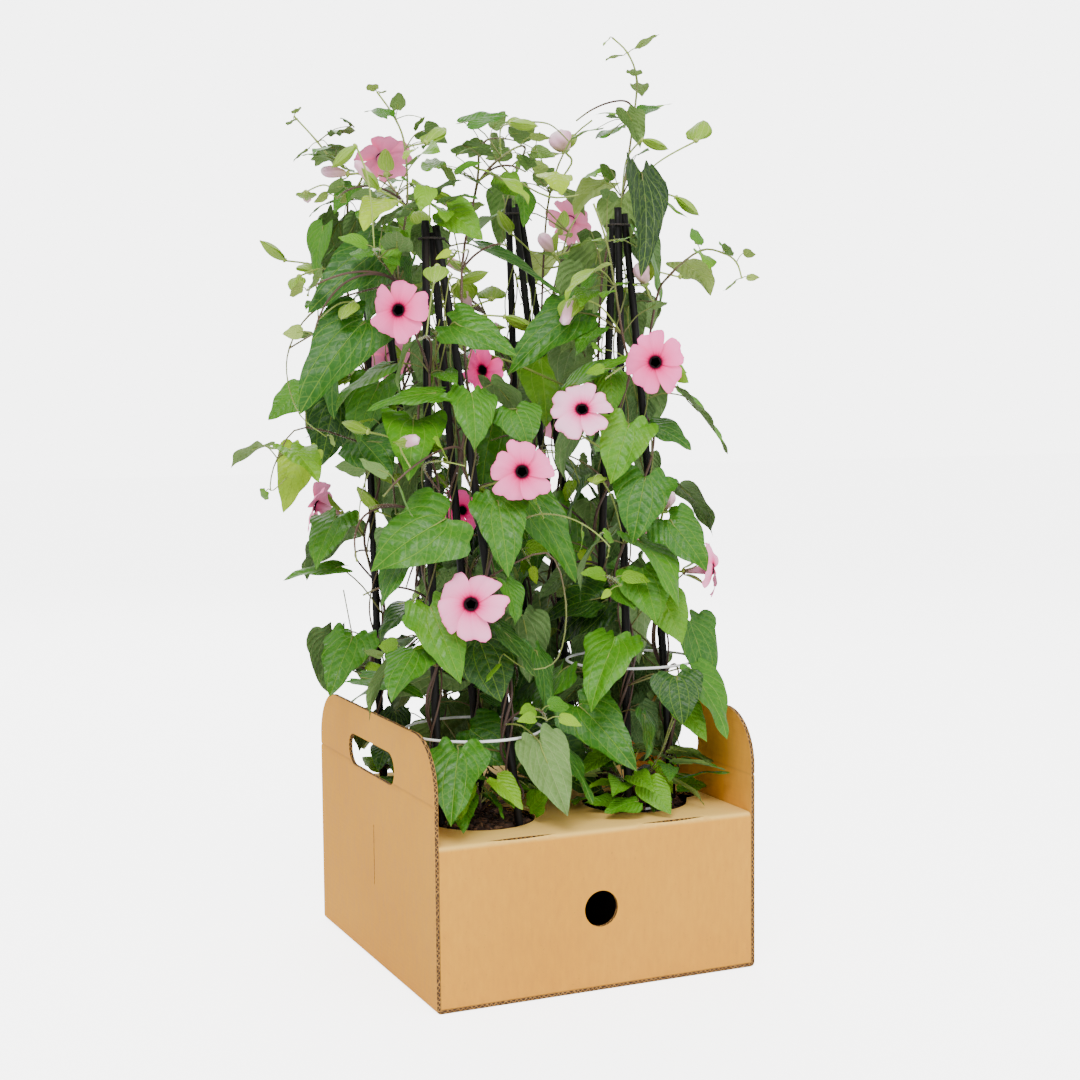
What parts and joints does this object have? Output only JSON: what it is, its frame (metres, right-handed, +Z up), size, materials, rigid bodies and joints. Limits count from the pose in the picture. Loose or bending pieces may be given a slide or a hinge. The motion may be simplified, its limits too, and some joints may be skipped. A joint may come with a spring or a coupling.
{
  "type": "potted black eyed susan vine",
  "caption": "Potted black-eyed Susan vines with pink, dark-eyed flowers, twining up wigwams of black sticks in a folded cardboard carrying carton.",
  "frame": {"origin": "middle of the carton's underside, where it stands", "axes": "+Z up, -Y towards the carton's front wall with the finger hole, +X towards its right handle panel"},
  "size_m": [0.3721, 0.3171, 0.719],
  "materials": {
    "carton": "plain brown corrugated board",
    "pot": "thin black nursery pot",
    "soil": "loose peat and bark, matt",
    "stick": "bamboo, stained black, satin",
    "tie": "thin dark tie",
    "hoop": "white plastic",
    "foliage": "living leaves and stems, satin",
    "petal": "soft pink petals, matt",
    "bud": "closed petals, matt"
  },
  "bodies": {
    "root": {"bud_1": "bud", "bud_2": "bud", "bud_3": "bud", "bud_4": "bud", "bud_5": "bud", "bud_6": "bud", "carton_cover": "carton", "carton_cradle": "carton", "corolla_1": "petal", "corolla_10": "petal", "corolla_11": "petal", "corolla_12": "petal", "corolla_13": "petal", "corolla_14": "petal", "corolla_2": "petal", "corolla_3": "petal", "corolla_4": "petal", "corolla_5": "petal", "corolla_6": "petal", "corolla_7": "petal", "corolla_8": "petal", "corolla_9": "petal", "hoop_front_left": "hoop", "hoop_front_right": "hoop", "hoop_low_front_right": "hoop", "pot_back_left": "pot", "pot_back_right": "pot", "pot_front_left": "pot", "pot_front_right": "pot", "soil_back_left": "soil", "soil_back_right": "soil", "soil_front_left": "soil", "soil_front_right": "soil", "stick_back_left_1": "stick", "stick_back_left_2": "stick", "stick_back_left_3": "stick", "stick_back_right_1": "stick", "stick_back_right_2": "stick", "stick_back_right_3": "stick", "stick_front_left_1": "stick", "stick_front_left_2": "stick", "stick_front_left_3": "stick", "stick_front_right_1": "stick", "stick_front_right_2": "stick", "stick_front_right_3": "stick", "tie_back_left": "tie", "tie_back_right": "tie", "tie_front_left": "tie", "tie_front_right": "tie", "vine_back_left": "foliage", "vine_back_right": "foliage", "vine_front_left": "foliage", "vine_front_right": "foliage"}
  },
  "joints": []
}
